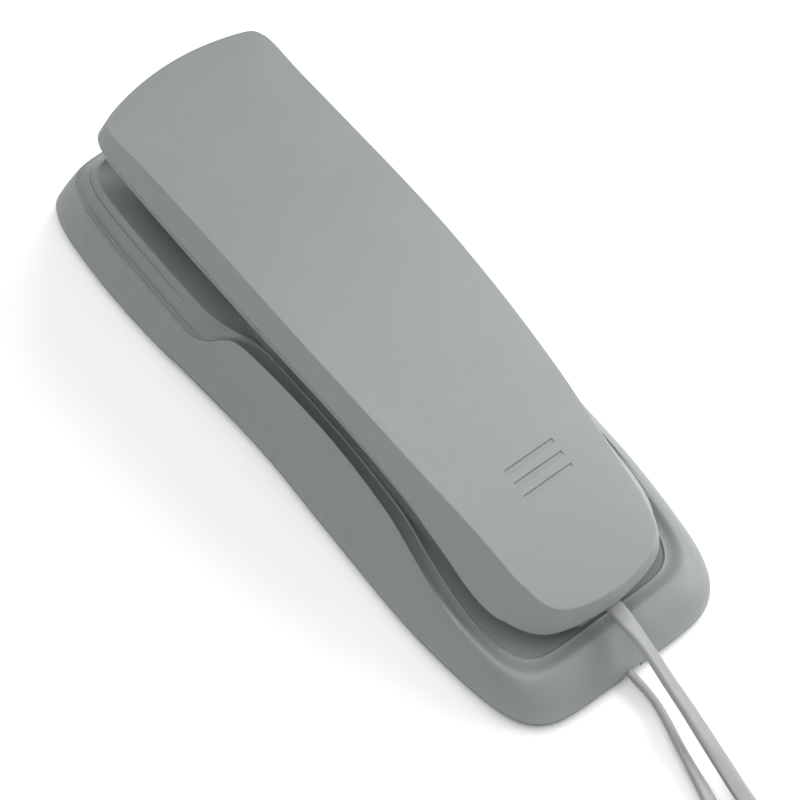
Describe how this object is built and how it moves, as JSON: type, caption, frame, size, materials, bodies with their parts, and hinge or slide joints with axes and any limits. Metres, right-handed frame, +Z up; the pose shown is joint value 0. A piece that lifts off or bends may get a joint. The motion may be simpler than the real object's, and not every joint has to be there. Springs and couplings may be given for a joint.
{
  "type": "slimline wall phone",
  "caption": "Slim two-piece corded telephone: a bevelled handset lies face down in a narrow cradle base and a curly cord joins their lower ends.",
  "frame": {"origin": "on the surface that the feet stand on, under the middle of the base and handset", "axes": "+Z up from the rear face through the handset, +Y towards the earpiece end, +X across the width"},
  "size_m": [0.0838, 0.422, 0.059],
  "materials": {
    "shell_plastic": "satin moulded grey",
    "key_plastic": "satin pale grey",
    "rubber": "matte black",
    "steel": "zinc plated",
    "circuit_board": "green solder resist",
    "dark_plastic": "black moulded",
    "clear_plastic": "clear moulded",
    "cord_vinyl": "soft grey vinyl"
  },
  "bodies": {
    "base": {"base_top_shell": "shell_plastic", "base_rear_cover": "shell_plastic", "rubber_foot_1": "rubber", "rubber_foot_2": "rubber", "rubber_foot_3": "rubber", "rubber_foot_4": "rubber", "base_screw_1": "steel", "base_screw_2": "steel", "base_screw_3": "steel", "base_screw_4": "steel", "base_circuit_board": "circuit_board", "tone_ringer": "dark_plastic", "hook_switch": "dark_plastic", "hook_spring": "steel", "base_cord_jack": "dark_plastic", "line_jack": "dark_plastic", "ringer_switch_body": "dark_plastic", "base_plug": "clear_plastic", "handset_lead": "cord_vinyl", "base_lead": "cord_vinyl", "curly_cord": "cord_vinyl", "cord_tie": "dark_plastic"},
    "handset": {"handset_back_shell": "shell_plastic", "handset_face_shell": "shell_plastic", "key_mat": "rubber", "handset_circuit_board": "circuit_board", "receiver_capsule": "dark_plastic", "receiver_ring": "rubber", "microphone": "steel", "microphone_boot": "rubber", "handset_cord_jack": "dark_plastic", "balance_weight": "steel", "handset_screw_1": "steel", "handset_screw_2": "steel", "handset_plug": "clear_plastic"},
    "plunger": {"hook_plunger": "shell_plastic"},
    "ringer_knob": {"ringer_slider": "dark_plastic"},
    "key_1": {"key_1": "key_plastic"},
    "key_2": {"key_2": "key_plastic"},
    "key_3": {"key_3": "key_plastic"},
    "key_4": {"key_4": "key_plastic"},
    "key_5": {"key_5": "key_plastic"},
    "key_6": {"key_6": "key_plastic"},
    "key_7": {"key_7": "key_plastic"},
    "key_8": {"key_8": "key_plastic"},
    "key_9": {"key_9": "key_plastic"},
    "key_star": {"key_star": "key_plastic"},
    "key_0": {"key_0": "key_plastic"},
    "key_hash": {"key_hash": "key_plastic"},
    "key_flash": {"key_flash": "key_plastic"},
    "key_redial": {"key_redial": "key_plastic"}
  },
  "joints": [
    {"name": "handset_lift", "type": "slide", "parent": "base", "child": "handset", "axis": [0, 0, 1], "range_m": [0, 0.06]},
    {"name": "hook_plunger_travel", "type": "slide", "parent": "base", "child": "plunger", "axis": [0, 0, 1], "range_m": [0, 0.0042], "deforming": ["hook_spring"]},
    {"name": "ringer_volume_slide", "type": "slide", "parent": "base", "child": "ringer_knob", "axis": [0, 1, 0], "range_m": [-0.0025, 0.0025]},
    {"name": "key_1_press", "type": "slide", "parent": "handset", "child": "key_1", "axis": [0, 0, 1], "range_m": [0, 0.0012], "stiffness_N_per_m": 400, "springref_m": -0.0003},
    {"name": "key_2_press", "type": "slide", "parent": "handset", "child": "key_2", "axis": [0, 0, 1], "range_m": [0, 0.0012], "stiffness_N_per_m": 400, "springref_m": -0.0003},
    {"name": "key_3_press", "type": "slide", "parent": "handset", "child": "key_3", "axis": [0, 0, 1], "range_m": [0, 0.0012], "stiffness_N_per_m": 400, "springref_m": -0.0003},
    {"name": "key_4_press", "type": "slide", "parent": "handset", "child": "key_4", "axis": [0, 0, 1], "range_m": [0, 0.0012], "stiffness_N_per_m": 400, "springref_m": -0.0003},
    {"name": "key_5_press", "type": "slide", "parent": "handset", "child": "key_5", "axis": [0, 0, 1], "range_m": [0, 0.0012], "stiffness_N_per_m": 400, "springref_m": -0.0003},
    {"name": "key_6_press", "type": "slide", "parent": "handset", "child": "key_6", "axis": [0, 0, 1], "range_m": [0, 0.0012], "stiffness_N_per_m": 400, "springref_m": -0.0003},
    {"name": "key_7_press", "type": "slide", "parent": "handset", "child": "key_7", "axis": [0, 0, 1], "range_m": [0, 0.0012], "stiffness_N_per_m": 400, "springref_m": -0.0003},
    {"name": "key_8_press", "type": "slide", "parent": "handset", "child": "key_8", "axis": [0, 0, 1], "range_m": [0, 0.0012], "stiffness_N_per_m": 400, "springref_m": -0.0003},
    {"name": "key_9_press", "type": "slide", "parent": "handset", "child": "key_9", "axis": [0, 0, 1], "range_m": [0, 0.0012], "stiffness_N_per_m": 400, "springref_m": -0.0003},
    {"name": "key_star_press", "type": "slide", "parent": "handset", "child": "key_star", "axis": [0, 0, 1], "range_m": [0, 0.0012], "stiffness_N_per_m": 400, "springref_m": -0.0003},
    {"name": "key_0_press", "type": "slide", "parent": "handset", "child": "key_0", "axis": [0, 0, 1], "range_m": [0, 0.0012], "stiffness_N_per_m": 400, "springref_m": -0.0003},
    {"name": "key_hash_press", "type": "slide", "parent": "handset", "child": "key_hash", "axis": [0, 0, 1], "range_m": [0, 0.0012], "stiffness_N_per_m": 400, "springref_m": -0.0003},
    {"name": "key_flash_press", "type": "slide", "parent": "handset", "child": "key_flash", "axis": [0, 0, 1], "range_m": [0, 0.0012], "stiffness_N_per_m": 400, "springref_m": -0.0003},
    {"name": "key_redial_press", "type": "slide", "parent": "handset", "child": "key_redial", "axis": [0, 0, 1], "range_m": [0, 0.0012], "stiffness_N_per_m": 400, "springref_m": -0.0003}
  ],
  "couplings": [
    {"joint": "hook_plunger_travel", "follows": "handset_lift", "ratio": 0.07}
  ]
}
